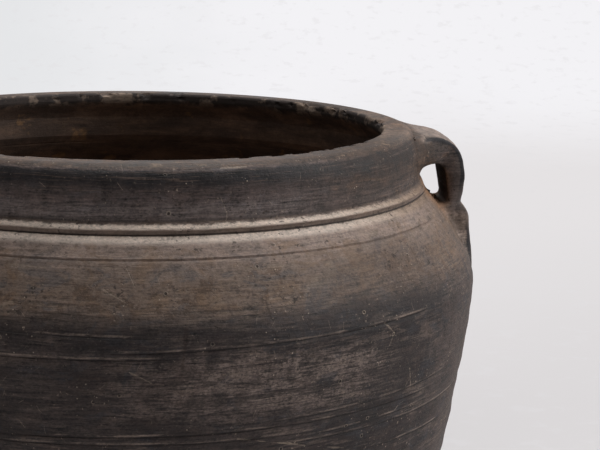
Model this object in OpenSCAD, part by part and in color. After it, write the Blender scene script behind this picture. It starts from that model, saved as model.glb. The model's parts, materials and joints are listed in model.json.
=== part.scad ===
// Large blackware jar built from stacked clay courses: a disc base, three wall
// courses, a shoulder, a raised neck cordon, a collar, a heavy rolled rim and two
// strap handles luted to the rim and pressed onto the shoulder.
// Millimetres. +Z is up. The origin is the middle of the resting face.
// The handles lie along +X and -X.

/* [Body] */

// Greatest width across the belly
body_w = 382; // [370:1:400]
// Height from the resting face to the rim
body_h = 350; // [320:1:380]
// Width of the resting face
base_w = 212; // [190:1:230]
// Depth of the widest ring below the rim
belly_depth = 83; // [80:1:92]
// Height of the belly course below the widest ring
belly_course_h = 44; // [36:1:52]
// Height of the foot course above the base disc
foot_course_h = 100; // [80:1:115]
// Wall thickness of the courses
wall_t = 9.5; // [8:0.5:12]
// Thickness of the base disc
floor_t = 12; // [11:0.5:14]
// Rise of each bevelled seam from its outer edge to its inner edge
seam_lap = 5; // [3:0.5:7]

/* [Neck] */

// Clear width of the mouth
mouth_w = 275; // [264:1:282]
// Width across the collar
neck_w = 316; // [312:1:320]
// Wall thickness of the collar
collar_t = 11.5; // [9.5:0.5:13]
// Height of the rolled rim
rim_h = 14; // [13:0.5:16]
// Depth of the top of the neck cordon below the rim
cordon_depth = 27.4; // [26:0.2:29]
// Height of the neck cordon
cordon_h = 5.5; // [4.5:0.5:6]
// Stand-out of the neck cordon from the collar
cordon_out = 4.2; // [3.4:0.2:5.4]
// Depth of the scored ring below the rim
score_depth = 43; // [42:0.5:46]

/* [Handles] */

// Width of the strap
strap_w = 38; // [32:1:42]
// Thickness of the strap where it leaves the rim
root_t = 19; // [16:0.5:21]
// Thickness of the strap at its lower end
leg_t = 7.4; // [7:0.2:9.6]
// Gap between the strap's leg and the shoulder at the joint with the foot
leg_gap = 4.9; // [3.7:0.2:6.1]
// Depth of the joint between strap and foot below the rim
joint_depth = 43.5; // [42:0.5:45]
// Extra width of the pressed foot beyond the strap
foot_extra = 3; // [1:0.5:5]
// Swell of the foot below the joint
foot_bulge = 3.2; // [2:0.2:4]

/* [Hidden] */

belly_r = body_w / 2;
base_r = base_w / 2;
neck_r = neck_w / 2;
mouth_r = mouth_w / 2;
neck_in_r = neck_r - collar_t;

belly_z = body_h - belly_depth;
rim_z = body_h - rim_h;
cordon_z = body_h - cordon_depth;
groove_z = cordon_z - cordon_h;
score_z = body_h - score_depth;
joint_z = body_h - joint_depth;
base_seam_z = floor_t - 2;
foot_seam_z = base_seam_z + foot_course_h;
belly_seam_z = belly_z - belly_course_h;

// The shoulder springs from this far outside the collar.
ledge = 3.9;
ledge_r = neck_r + ledge;
// The cordon is bedded this deep in the collar.
cordon_bed = 2.5;
bed_r = neck_r - cordon_bed;
// Half width and depth of the scored ring.
score_half = 1.2;
score_cut = 0.6;
// The groove under the cordon bites this far into the springing of the shoulder.
groove_cut = 0.6;
crest_drop = 1.2;

// Worn lower edge of the base, and the cove where wall and floor meet inside.
base_edge = 2;
cove_w = 9;

// Rim section: rounded outer quarter, level top, tight inner arris.
rim_round_w = 9;
rim_round_h = 12;
rim_arris = 1.6;
rim_face_h = 5;

// How quickly the shoulder turns in, and the two parts of the taper to the base.
turn = 1.5;
taper_early = 0.76;
taper_late_power = 4;

step_z = 6;
round_fn = 96;

clay_dark = [0.20, 0.19, 0.19];
clay_mid = [0.27, 0.25, 0.24];
clay_worn = [0.38, 0.35, 0.31];
clay_strap = [0.23, 0.21, 0.20];

// ---- outline of the wall ----

function shoulder_r(z) =
    belly_r - (belly_r - ledge_r) * pow((z - belly_z) / (groove_z - belly_z), turn);

function taper_r(z) =
    let (t = (belly_z - z) / belly_z)
    belly_r - (belly_r - base_r)
        * (taper_early * pow(t, turn) + (1 - taper_early) * pow(t, taper_late_power));

function outer_r(z) = z > belly_z ? shoulder_r(z) : taper_r(z);

function lean(z) = (outer_r(z + 0.5) - outer_r(z - 0.5));

function inner_r(z) = outer_r(z) - wall_t * sqrt(1 + pow(lean(z), 2));

function steps(z0, z1) = max(1, round(abs(z1 - z0) / step_z));

function outer_line(z0, z1) =
    [for (i = [0 : steps(z0, z1)]) let (z = z0 + (z1 - z0) * i / steps(z0, z1)) [outer_r(z), z]];

function inner_line(z0, z1) =
    [for (i = [0 : steps(z0, z1)]) let (z = z0 + (z1 - z0) * i / steps(z0, z1)) [inner_r(z), z]];

// Outer face of the shoulder, from the widest ring up to the groove under the cordon.
function shoulder_line() = concat(
    outer_line(belly_z, score_z - score_half),
    [[outer_r(score_z) - score_cut, score_z]],
    outer_line(score_z + score_half, groove_z - crest_drop),
    [[ledge_r - groove_cut, groove_z]]);

// Outer face of the cordon, from the groove up to the collar.
bead = [[0.25, 0], [0.85, 0.2], [1, 0.45], [0.8, 0.7], [0, 1]];
function cordon_line() =
    [for (p = bead) [neck_r + cordon_out * p[0], groove_z + cordon_h * p[1]]];

// Outer face, top and inner arris of the rim, from the collar seam to the inner face.
function rim_line() = concat(
    [[neck_r, rim_z]],
    [for (i = [0 : 6]) let (a = 90 * i / 6)
        [neck_r - rim_round_w * (1 - cos(a)), body_h - rim_round_h * (1 - sin(a))]],
    [[mouth_r + rim_arris, body_h],
     [mouth_r + rim_arris * 0.3, body_h - rim_arris * 0.3],
     [mouth_r, body_h - rim_arris]]);

module turned(line) rotate_extrude($fn = round_fn) polygon(line);

// A wall course between two bevelled seams.
module course(z0, z1) {
    up = inner_line(z0 + seam_lap, z1 + seam_lap);
    turned(concat(outer_line(z0, z1), [for (i = [len(up) - 1 : -1 : 0]) up[i]]));
}

module base_disc() {
    seam_in = [inner_r(base_seam_z + seam_lap), base_seam_z + seam_lap];
    color(clay_mid)
        turned([[0, 0], [base_r - base_edge / 2, 0], [outer_r(base_edge), base_edge],
                [outer_r(base_seam_z), base_seam_z], seam_in,
                [seam_in[0] - cove_w / 3, floor_t + (seam_in[1] - floor_t) * 0.3],
                [seam_in[0] - cove_w, floor_t], [0, floor_t]]);
}

module foot_course() { color(clay_mid) course(base_seam_z, foot_seam_z); }

module lower_course() { color(clay_mid) course(foot_seam_z, belly_seam_z); }

module belly_course() { color(clay_dark) course(belly_seam_z, belly_z); }

module shoulder_course() {
    up = inner_line(belly_z + seam_lap, groove_z - 3);
    color(clay_worn)
        turned(concat(
            shoulder_line(),
            [[bed_r, groove_z], [neck_in_r, groove_z + seam_lap]],
            [for (i = [len(up) - 1 : -1 : 0]) up[i]]));
}

module neck_cordon() {
    color(clay_worn) turned(concat([[bed_r, groove_z]], cordon_line(), [[bed_r, cordon_z]]));
}

module collar() {
    color(clay_dark)
        turned([[bed_r, groove_z], [bed_r, cordon_z], [neck_r, cordon_z], [neck_r, rim_z],
                [neck_in_r, rim_z - 2], [neck_in_r, groove_z + seam_lap]]);
}

module rim_lip() {
    color(clay_dark)
        turned(concat(
            rim_line(),
            [[mouth_r, body_h - rim_face_h],
             [mouth_r + (neck_in_r - mouth_r) * 0.35, body_h - rim_face_h - 4],
             [neck_in_r, rim_z - 2]]));
}

// ---- handles ----

// Everything inside the outer faces of the shoulder, collar and rim.
module envelope() {
    turned(concat(
        [[0, belly_z]], shoulder_line(), [[bed_r, groove_z], [bed_r, cordon_z], [neck_r, cordon_z]],
        rim_line(), [[0, body_h - rim_arris]]));
}

function mix(a, b, t) = a + (b - a) * t;
function bend(p, c, q, t) = mix(mix(p, c, t), mix(c, q, t), t);
function toward(a, b, d) = a + (b - a) * d / norm(b - a);

// A straight run, a rounded corner and a second straight run.
function corner_line(a, c, b, cut_a, cut_b) = let (p = toward(c, a, cut_a), q = toward(c, b, cut_b)) concat(
    [for (i = [0 : 3]) mix(a, p, i / 4)],
    [for (i = [0 : 8]) bend(p, c, q, i / 8)],
    [for (i = [1 : 3]) mix(q, b, i / 3)]);

// Points round a strap section: flat sided, domed on the outer face.
sect_n = 20;
domed = 2.7;
squared = 3.6;
function sect_side(v, power) = sign(v) * pow(abs(v), 2 / power);
function section(o, i, w) = let (mid = (o + i) / 2, half = (o - i) / 2)
    [for (k = [0 : sect_n - 1]) let (
        a = 360 * (k + 0.5) / sect_n,
        power = sin(a) > 0 ? domed : squared,
        s = sect_side(sin(a), power), c = sect_side(cos(a), power),
        p = mid + half * s)
        [p[0], c * w / 2, p[1]]];

// A body swept through the sections between an outer and an inner line.
module swept(outer, inner, widths) {
    n = len(outer);
    pts = [for (i = [0 : n - 1]) each section(outer[i], inner[i], widths[i])];
    sides = [for (i = [0 : n - 2], k = [0 : sect_n - 1])
        let (a = i * sect_n + k, b = i * sect_n + (k + 1) % sect_n)
        each [[a, b, a + sect_n], [b, b + sect_n, a + sect_n]]];
    first = [[for (k = [sect_n - 1 : -1 : 0]) k]];
    last = [[for (k = [0 : sect_n - 1]) (n - 1) * sect_n + k]];
    polyhedron(pts, concat(sides, first, last), convexity = 6);
}

// Strap lines: level run out from the rim, then the leg down to the joint.
root_x = neck_r - 7;
strap_dip = 0.5;
root_fillet = 4;
corner_out = 5.6;
corner_drop = 7.3;
corner_in = 3;
corner_lift = 2.2;
outer_turn = 23.5;
leg_turn = 26;
inner_turn = 6;
leg_in = [outer_r(joint_z) + leg_gap, joint_z];
leg_out = [leg_in[0] + leg_t, joint_z];
strap_outer = corner_line([root_x, body_h - strap_dip],
                          [leg_out[0] + corner_out, body_h - corner_drop], leg_out, outer_turn, leg_turn);
strap_inner = corner_line([root_x, body_h - strap_dip - root_t - root_fillet],
                          [leg_in[0] - corner_in, body_h - corner_lift - root_t], leg_in,
                          inner_turn, inner_turn);
root_flare = 16;
end_narrow = 1.5;
strap_widths = [for (i = [0 : len(strap_outer) - 1]) let (u = i / (len(strap_outer) - 1))
    strap_w + root_flare * pow(max(0, 1 - u * 4), 2) - end_narrow * u];

// Foot lines: the pad swells below the joint, then thins into the shoulder.
tail_z = belly_z + 1;
foot_n = 12;
foot_lip = 1.6;
foot_root = 5;
foot_fade = 1.6;
bulge_rise = 0.45;
tail_t = 7;
tail_bury = 0.8;
tail_part = 0.55;
function foot_z(s) = mix(joint_z, tail_z, s);
function foot_proud(s) =
    (leg_gap + leg_t + foot_lip) * pow(1 - s, foot_fade) + foot_bulge * sin(180 * pow(s, bulge_rise))
    + tail_t * pow(s, 5) * (1 - pow(s, 10)) - tail_bury * pow(s, 12);
foot_outer = [for (i = [0 : foot_n]) let (s = i / foot_n)
    [outer_r(foot_z(s)) + foot_proud(s), foot_z(s)]];
foot_inner = [for (i = [0 : foot_n]) let (s = i / foot_n)
    [outer_r(foot_z(s)) - foot_root, foot_z(s)]];
foot_widths = [for (i = [0 : foot_n])
    mix(strap_w + foot_extra, strap_w * tail_part, pow(i / foot_n, 1.4))];

module handle_strap() {
    color(clay_strap) difference() {
        swept(strap_outer, strap_inner, strap_widths);
        envelope();
    }
}

module handle_foot() {
    color(clay_worn) difference() {
        swept(foot_outer, foot_inner, foot_widths);
        envelope();
    }
}

module handle_strap_right() { handle_strap(); }
module handle_foot_right() { handle_foot(); }
module handle_strap_left() { mirror([1, 0, 0]) handle_strap(); }
module handle_foot_left() { mirror([1, 0, 0]) handle_foot(); }

base_disc();
foot_course();
lower_course();
belly_course();
shoulder_course();
collar();
neck_cordon();
rim_lip();
handle_strap_right();
handle_foot_right();
handle_strap_left();
handle_foot_left();
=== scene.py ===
import json
import math
import random
from collections import Counter
from types import SimpleNamespace

import bpy
from mathutils import Matrix, Vector, noise
from mathutils.bvhtree import BVHTree

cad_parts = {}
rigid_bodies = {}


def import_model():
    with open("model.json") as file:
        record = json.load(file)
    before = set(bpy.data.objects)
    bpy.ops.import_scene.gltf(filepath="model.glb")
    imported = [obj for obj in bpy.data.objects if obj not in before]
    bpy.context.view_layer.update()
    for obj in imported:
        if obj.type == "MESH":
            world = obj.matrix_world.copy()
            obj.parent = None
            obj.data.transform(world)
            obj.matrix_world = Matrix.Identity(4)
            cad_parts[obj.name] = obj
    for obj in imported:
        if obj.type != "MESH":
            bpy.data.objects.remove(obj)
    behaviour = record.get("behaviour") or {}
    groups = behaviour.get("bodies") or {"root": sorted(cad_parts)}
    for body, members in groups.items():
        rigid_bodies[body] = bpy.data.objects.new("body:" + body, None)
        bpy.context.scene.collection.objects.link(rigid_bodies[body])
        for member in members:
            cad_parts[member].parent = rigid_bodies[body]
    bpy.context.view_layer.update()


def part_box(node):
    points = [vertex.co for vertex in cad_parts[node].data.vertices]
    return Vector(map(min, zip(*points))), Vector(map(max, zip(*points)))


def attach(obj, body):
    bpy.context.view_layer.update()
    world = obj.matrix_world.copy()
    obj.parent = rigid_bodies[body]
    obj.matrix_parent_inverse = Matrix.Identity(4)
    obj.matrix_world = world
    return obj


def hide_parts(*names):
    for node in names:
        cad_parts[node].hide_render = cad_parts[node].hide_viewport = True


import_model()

# ---------------------------------------------------------------- sizes, in metres

MM = 0.001
RIM_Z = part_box("rim_lip")[1].z
RIM_TOP = RIM_Z - 0.0001
RIM_ROUND_W = 0.009
RIM_ROUND_H = 0.0119
BELLY_R = 0.1901  # widest ring
BASE_R = 0.106  # resting face
NECK_R = 0.158  # outside of the collar
NECK_IN_R = 0.1465  # inside of the collar
MOUTH_R = 0.1375  # clear mouth
LEDGE_R = 0.1619  # top of the shoulder, beside the cordon
BED_R = 0.1555  # bed that the cordon is let into
CORDON_OUT = 0.0042  # how far the cordon stands out of the collar
WALL = 0.0095  # thickness of the wall
FLOOR = 0.012  # height of the floor inside
LAP = 0.005  # rise of a seam from the outside of the wall to the inside

# Heights of the seams at the outside of the wall, and of the rings between them.
BASE_SEAM = 0.010
FOOT_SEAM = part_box("foot_course")[1].z - LAP
BELLY_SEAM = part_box("lower_course")[1].z - LAP
BELLY_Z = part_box("belly_course")[1].z - LAP
GROOVE_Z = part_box("neck_cordon")[0].z
CORDON_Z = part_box("neck_cordon")[1].z
RIM_SEAM = RIM_Z - 0.014
SCORE_Z = RIM_Z - 0.043
JOINT_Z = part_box("handle_strap_right")[0].z

STEPS_ROUND = 768

# Lines left by the wheel: depth below the rim in mm and bearing in degrees of both ends, cut in mm.
WHEEL_LINES = [
    (83.6, -97, 79.0, -36, 0.45),
    (74.2, -116, 76.6, -86, 0.3),
    (86.4, -112, 86.2, -84, 0.25),
    (121.6, -74, 117.8, -30, 0.35),
    (126.2, -150, 123.4, -30, 0.5),
    (128.6, -160, 129.4, -58, 0.3),
    (131.8, -68, 129.6, -34, 0.3),
    (134.0, -72, 134.6, -14, 0.4),
    (146.0, -56, 147.6, -26, 0.35),
    (90.0, 12, 93.0, 84, 0.35),
    (127.0, 40, 124.0, 170, 0.45),
    (81.0, 120, 84.0, 176, 0.35),
]


def wall_r(z):
    """Outer radius of the turned wall at a height."""
    if z > BELLY_Z:
        return BELLY_R - (BELLY_R - LEDGE_R) * ((z - BELLY_Z) / (GROOVE_Z - BELLY_Z)) ** 1.5
    t = (BELLY_Z - z) / BELLY_Z
    return BELLY_R - (BELLY_R - BASE_R) * (0.76 * t ** 1.5 + 0.24 * t ** 4)


def inside_r(z):
    """Inner radius of the wall, which is equally thick square to its slope."""
    lean = (wall_r(z + 0.0005) - wall_r(z - 0.0005)) / 0.001
    return wall_r(z) - WALL * math.sqrt(1 + lean * lean)


def ease(a, b, value):
    """0 at a, 1 at b, and a smooth change between them."""
    t = min(1, max(0, (value - a) / (b - a)))
    return t * t * (3 - 2 * t)


def depth_of(co):
    """Depth of a place below the rim, in mm."""
    return (RIM_Z - co.z) / MM


def radius_of(co):
    """Distance of a place from the wheel's axis."""
    return math.hypot(co.x, co.y)


def bearing_of(co):
    """Bearing of a place round the wheel, in degrees from the right handle."""
    return math.degrees(math.atan2(co.y, co.x))


def on_outside(co):
    """Whether a place is on the outer side of the turned wall."""
    return radius_of(co) > wall_r(co.z) - 0.004


# ---------------------------------------------------------------- small tools


def rest():
    """Back to object mode, with nothing selected."""
    if bpy.context.mode != "OBJECT":
        bpy.ops.object.mode_set(mode="OBJECT")
    bpy.ops.object.select_all(action="DESELECT")


def take(piece):
    """Selects one piece alone and makes it the active one."""
    rest()
    piece.select_set(True)
    bpy.context.view_layer.objects.active = piece


def new_piece(name):
    """Names the piece that was just made."""
    piece = bpy.context.active_object
    piece.name = name
    piece.data.name = name
    return piece


def copy_of(piece, name):
    """A second piece with its own mesh."""
    take(piece)
    bpy.ops.object.duplicate()
    return new_piece(name)


def drop(piece):
    """Throws a piece away."""
    take(piece)
    bpy.ops.object.delete()


def edit(piece, kind="VERT"):
    """Opens one piece in edit mode, with nothing selected."""
    take(piece)
    bpy.ops.object.mode_set(mode="EDIT")
    bpy.ops.mesh.select_mode(type=kind)
    bpy.ops.mesh.select_all(action="DESELECT")


def edit_whole(piece):
    """Opens one piece in edit mode, with all of it selected."""
    take(piece)
    bpy.ops.object.mode_set(mode="EDIT")
    bpy.ops.mesh.select_all(action="SELECT")


def pick(piece, test, kind="VERT"):
    """Selects the vertices, edges or faces that pass a test, in edit mode."""
    edit(piece, kind)
    bpy.ops.object.mode_set(mode="OBJECT")
    mesh = piece.data
    for part in {"VERT": mesh.vertices, "EDGE": mesh.edges, "FACE": mesh.polygons}[kind]:
        part.select = test(part)
    bpy.ops.object.mode_set(mode="EDIT")


def modify(piece, kind, **settings):
    """Puts a modifier on a piece and applies it."""
    take(piece)
    mod = piece.modifiers.new(kind.title(), kind)
    for key, value in settings.items():
        setattr(mod, key, value)
    bpy.ops.object.modifier_apply(modifier=mod.name)


def weigh(piece, name, weight_at):
    """A vertex group whose weights follow the place of each vertex."""
    group = piece.vertex_groups.new(name=name)
    levels = {}
    for v in piece.data.vertices:
        levels.setdefault(round(weight_at(v.co), 2), []).append(v.index)
    for weight, where in levels.items():
        if weight > 0:
            group.add(where, weight, "REPLACE")


def mark(piece, name, kind, domain, values):
    """Gives each face or vertex of a piece a number of its own."""
    piece.data.attributes.new(name, kind, domain).data.foreach_set("value", values)


def face_outwards():
    """Turns all faces of the piece in edit mode outwards, and leaves edit mode."""
    bpy.ops.mesh.select_all(action="SELECT")
    bpy.ops.mesh.normals_make_consistent(inside=False)
    rest()


def extrude_edges(way=(0, 0, 0)):
    """Draws the selected edges out into faces; without a way the new edges lie on the old ones."""
    bpy.ops.mesh.extrude_edges_move(TRANSFORM_OT_translate={"value": way})


def clay_texture(name, size, depth):
    """Cloudy unevenness with lumps of a size in metres."""
    tex = bpy.data.textures.new(name, "CLOUDS")
    tex.noise_scale = size
    tex.noise_depth = depth
    return tex


def flat_texture(name):
    """An even texture, for a displacement that only a vertex group shapes."""
    tex = bpy.data.textures.new(name, "BLEND")
    tex.use_color_ramp = True
    for stop in tex.color_ramp.elements:
        stop.color = (1, 1, 1, 1)
    return tex


def stretched_space(name, place, scale):
    """An empty whose axes stretch a texture, so that it runs round the wheel."""
    rest()
    bpy.ops.object.empty_add(location=place)
    space = bpy.context.active_object
    space.name = name
    space.scale = scale
    bpy.context.view_layer.update()
    return space


# ---------------------------------------------------------------- the turned body


def run(a, b, step, radius):
    """Points of an outline from one height to another, with the radius given by a rule."""
    n = max(1, round(abs(b - a) / step))
    return [(radius(a + (b - a) * i / n), a + (b - a) * i / n) for i in range(1, n + 1)]


def outside_line():
    """Half section from the middle of the underside up to the inner edge of the rim."""
    line = [(0.0, 0.0), (0.03, 0.0), (0.06, 0.0), (0.09, 0.0), (BASE_R - 0.001, 0.0), (wall_r(0.002), 0.002)]
    for a, b, step in (
        (0.002, BASE_SEAM, 0.002), (BASE_SEAM, FOOT_SEAM, 0.003), (FOOT_SEAM, 0.160, 0.0022),
        (0.160, 0.190, 0.0015), (0.190, BELLY_SEAM, 0.0011), (BELLY_SEAM, BELLY_Z, 0.0009),
        (BELLY_Z, SCORE_Z - 0.0011, 0.0009),
    ):
        line += run(a, b, step, wall_r)
    line += [(wall_r(SCORE_Z) - 0.00008, SCORE_Z - 0.0006), (wall_r(SCORE_Z) - 0.00014, SCORE_Z),
             (wall_r(SCORE_Z) - 0.00008, SCORE_Z + 0.0006), (wall_r(SCORE_Z + 0.0011), SCORE_Z + 0.0011)]
    line += run(SCORE_Z + 0.0011, GROOVE_Z - 0.0024, 0.0009, wall_r)
    line += [(LEDGE_R + 0.0011, GROOVE_Z - 0.0017), (LEDGE_R + 0.0007, GROOVE_Z - 0.0011),
             (LEDGE_R + 0.0002, GROOVE_Z - 0.0006), (LEDGE_R - 0.0006, GROOVE_Z)]
    high = CORDON_Z - GROOVE_Z
    for out, up in (
        (0.74, 0.08), (0.77, 0.18), (0.80, 0.28), (0.86, 0.36), (0.95, 0.43),
        (1, 0.51), (0.97, 0.60), (0.82, 0.70), (0.52, 0.81), (0.24, 0.91),
    ):
        line.append((NECK_R + CORDON_OUT * out, GROOVE_Z + high * up))
    line += [(NECK_R + 0.0002, CORDON_Z)]
    line += run(CORDON_Z, RIM_SEAM, 0.0009, lambda z: NECK_R)
    line += [(NECK_R, RIM_Z - 0.0128), (NECK_R, RIM_Z - 0.012)]
    for i in range(1, 15):
        a = math.pi / 2 * i / 14
        line.append((NECK_R - RIM_ROUND_W * (1 - math.cos(a)), RIM_TOP - RIM_ROUND_H * (1 - math.sin(a))))
    line += [(0.148 - 0.0009 * i, RIM_TOP) for i in range(10)]
    return line


def mouth_line():
    """From the inner edge of the rim down inside to the middle of the floor."""
    line = [(MOUTH_R + 0.0010, RIM_Z - 0.0003), (MOUTH_R + 0.0003, RIM_Z - 0.0009), (MOUTH_R, RIM_Z - 0.0018)]
    line += run(RIM_Z - 0.0018, RIM_Z - 0.005, 0.0008, lambda z: MOUTH_R)
    line += [(MOUTH_R + 0.0012, RIM_Z - 0.0068), (MOUTH_R + 0.0032, RIM_Z - 0.009), (0.1434, RIM_Z - 0.0115),
             (0.1452, RIM_Z - 0.0135), (NECK_IN_R, RIM_SEAM - 0.002)]
    line += run(RIM_SEAM - 0.002, GROOVE_Z + LAP, 0.003, lambda z: NECK_IN_R)
    line += [(inside_r(GROOVE_Z - 0.003), GROOVE_Z - 0.003)]
    for a, b, step in (
        (GROOVE_Z - 0.003, BELLY_Z + LAP, 0.004), (BELLY_Z + LAP, BELLY_SEAM + LAP, 0.005),
        (BELLY_SEAM + LAP, FOOT_SEAM + LAP, 0.007), (FOOT_SEAM + LAP, BASE_SEAM + LAP, 0.007),
    ):
        line += run(a, b, step, inside_r)
    foot_in = inside_r(BASE_SEAM + LAP)
    line += [(foot_in - 0.003, FLOOR + 0.0009), (foot_in - 0.009, FLOOR)]
    line += [(r, FLOOR) for r in (0.07, 0.04, 0.0)]
    return line


def draw_line(name, line):
    """One vertex drawn out along a line in the XZ plane."""
    rest()
    bpy.ops.mesh.primitive_circle_add(vertices=3, radius=0.001)
    piece = new_piece(name)
    edit_whole(piece)
    bpy.ops.mesh.merge(type="CENTER")
    bpy.ops.transform.translate(value=(line[0][0], 0, line[0][1]))
    for (r0, z0), (r1, z1) in zip(line, line[1:]):
        bpy.ops.mesh.extrude_vertices_move(TRANSFORM_OT_translate={"value": (r1 - r0, 0, z1 - z0)})
    return piece


def turn(piece):
    """Turns the drawn line once round the wheel's axis."""
    rest()
    modify(piece, "SCREW", axis="Z", angle=2 * math.pi, steps=STEPS_ROUND, render_steps=STEPS_ROUND,
           use_merge_vertices=True, merge_threshold=0.00002)
    edit_whole(piece)
    bpy.ops.mesh.remove_doubles(threshold=0.00002)
    face_outwards()


body = draw_line("turned_body", outside_line() + mouth_line())
turn(body)

# The courses in order from the floor up: node, material slot, top seam outside and inside.
COURSES = [
    ("base_disc", "clay_mid", BASE_SEAM, BASE_SEAM + LAP),
    ("foot_course", "clay_mid", FOOT_SEAM, FOOT_SEAM + LAP),
    ("lower_course", "clay_mid", BELLY_SEAM, BELLY_SEAM + LAP),
    ("belly_course", "clay_dark", BELLY_Z, BELLY_Z + LAP),
    ("shoulder_course", "clay_worn", GROOVE_Z, GROOVE_Z + LAP),
    ("neck_cordon", "clay_worn", CORDON_Z, 0),
    ("collar", "clay_dark", RIM_SEAM, RIM_SEAM - 0.002),
    ("rim_lip", "clay_dark", 1, 1),
]


def is_inside(r, z):
    """Whether a place on the skin belongs to the inner side of the wall."""
    if z < 0.0005:
        return False
    if z > RIM_SEAM:
        return r < MOUTH_R + (0.0016 if z > RIM_Z - 0.0002 else 0.003 if z > RIM_Z - 0.008 else 0.012)
    if z > GROOVE_Z:
        return r < (NECK_R + NECK_IN_R) / 2
    return r < wall_r(z) - WALL / 2


def course_at(r, z):
    """Number of the course that a face of the skin belongs to."""
    top = 3 if is_inside(r, z) else 2
    return next(i for i, course in enumerate(COURSES) if z < course[top])


mark(body, "course", "INT", "FACE", [course_at(radius_of(p.center), p.center.z) for p in body.data.polygons])
mark(body, "inside", "FLOAT", "POINT",
     [float(is_inside(radius_of(v.co), v.co.z)) for v in body.data.vertices])

# ---------------------------------------------------------------- marks of the wheel and the hand


def free_hand(co):
    """Full on the wall, little at the level rim, none on the resting face."""
    return ease(0.001, 0.02, co.z) * (1 - 0.88 * ease(RIM_Z - 0.02, RIM_Z - 0.002, co.z))


def line_cut(co):
    """Depth of the wheel's lines at a place, as a share of 0.5 mm."""
    depth = depth_of(co)
    if not (70 < depth < 152 and on_outside(co)):
        return 0
    bearing = bearing_of(co)
    cut = 0
    for deep_a, a, deep_b, b, mm in WHEEL_LINES:
        t = (bearing - a) / (b - a)
        if 0 < t < 1:
            off = depth - deep_a - (deep_b - deep_a) * t
            cut += mm * math.exp(-off * off / 0.6) * ease(0, 0.12, t) * ease(1, 0.88, t)
    return min(1, cut / 0.5)


def rim_chip(co):
    """Small losses along the inner edge of the mouth."""
    near = 1 - min(1, math.hypot(radius_of(co) - MOUTH_R - 0.0004, co.z - RIM_Z + 0.0006) / 0.0042)
    if near <= 0:
        return 0
    grain = noise.fractal(co * 95, 1.0, 2.0, 3) + 0.35 * noise.noise(co * 420)
    return ease(0.12, 0.42, grain) * ease(0, 0.6, near)


def bulge(co):
    """A slight fullness just above the widest ring."""
    depth = depth_of(co)
    return ease(60, 74, depth) * ease(87, 80, depth) if on_outside(co) else 0


def hollow(co):
    """A shallow waist where the wall was pressed in below the belly."""
    depth = depth_of(co)
    return ease(124, 134, depth) * ease(158, 146, depth) if depth < 160 and on_outside(co) else 0


def luted(co):
    """Where clay was smeared over the cordon under each handle."""
    depth = depth_of(co)
    if not 18 < depth < 46 or radius_of(co) < NECK_R - 0.003:
        return 0
    off_handle = 90 - abs(90 - abs(bearing_of(co)))
    return ease(21, 12, off_handle) * ease(18, 23, depth) * ease(45, 38, depth)


weigh(body, "luted", luted)
modify(body, "SMOOTH", factor=0.5, iterations=90, vertex_group="luted")
weigh(body, "free_hand", free_hand)
weigh(body, "bulge", bulge)
weigh(body, "hollow", hollow)
weigh(body, "lines", line_cut)
weigh(body, "chips", rim_chip)
ridge_space = stretched_space("ridge_space", (0, 0, 0.02), (1, 1, 0.045))
tool_space = stretched_space("tool_space", (0.3, 0.1, 0), (1, 1, 0.012))
in_place = {"texture_coords": "LOCAL"}
along_ridges = {"texture_coords": "OBJECT", "texture_coords_object": ridge_space}
along_tool = {"texture_coords": "OBJECT", "texture_coords_object": tool_space}
for name, lumps, fineness, strength, middle, space in (
    ("out_of_round", 0.22, 1, 0.0016, 0.52, in_place),
    ("finger_ridges", 0.26, 1, 0.0008, 0.5, along_ridges),
    ("tool_marks", 0.20, 1, 0.0003, 0.5, along_tool),
    ("uneven_skin", 0.014, 2, 0.0005, 0.5, in_place),
):
    modify(body, "DISPLACE", texture=clay_texture(name, lumps, fineness), strength=strength,
           mid_level=middle, vertex_group="free_hand", **space)
even = flat_texture("even")
for group, strength in (("lines", -0.0005), ("bulge", 0.0006), ("hollow", -0.0008), ("chips", -0.0016)):
    modify(body, "DISPLACE", texture=even, strength=strength, mid_level=0, vertex_group=group)

# ---------------------------------------------------------------- handles


def mix(p, q, t):
    """The point at a share t of the way from p to q."""
    return p[0] + (q[0] - p[0]) * t, p[1] + (q[1] - p[1]) * t


def corner_line(a, c, b, cut_a, cut_b):
    """Points along a run, round a corner and down a second run."""
    p = mix(c, a, cut_a / math.dist(c, a))
    q = mix(c, b, cut_b / math.dist(c, b))
    bent = [mix(mix(p, c, i / 6), mix(c, q, i / 6), i / 6) for i in range(7)]
    return [mix(a, p, i / 3) for i in range(3)] + bent + [mix(q, b, i / 2) for i in (1, 2)]


def ring_frame(outer, inner):
    """Middle, tilt about Y, thickness and axes of a ring of clay between two points."""
    up = Vector((outer[0] - inner[0], 0, outer[1] - inner[1]))
    thick = up.length
    up.normalize()
    side = Vector((0, 1, 0))
    axes = Matrix((side.cross(up), side, up)).transposed()
    middle = Vector(((outer[0] + inner[0]) / 2, 0, (outer[1] + inner[1]) / 2))
    return middle, math.atan2(up.x, up.z), thick, axes


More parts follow.
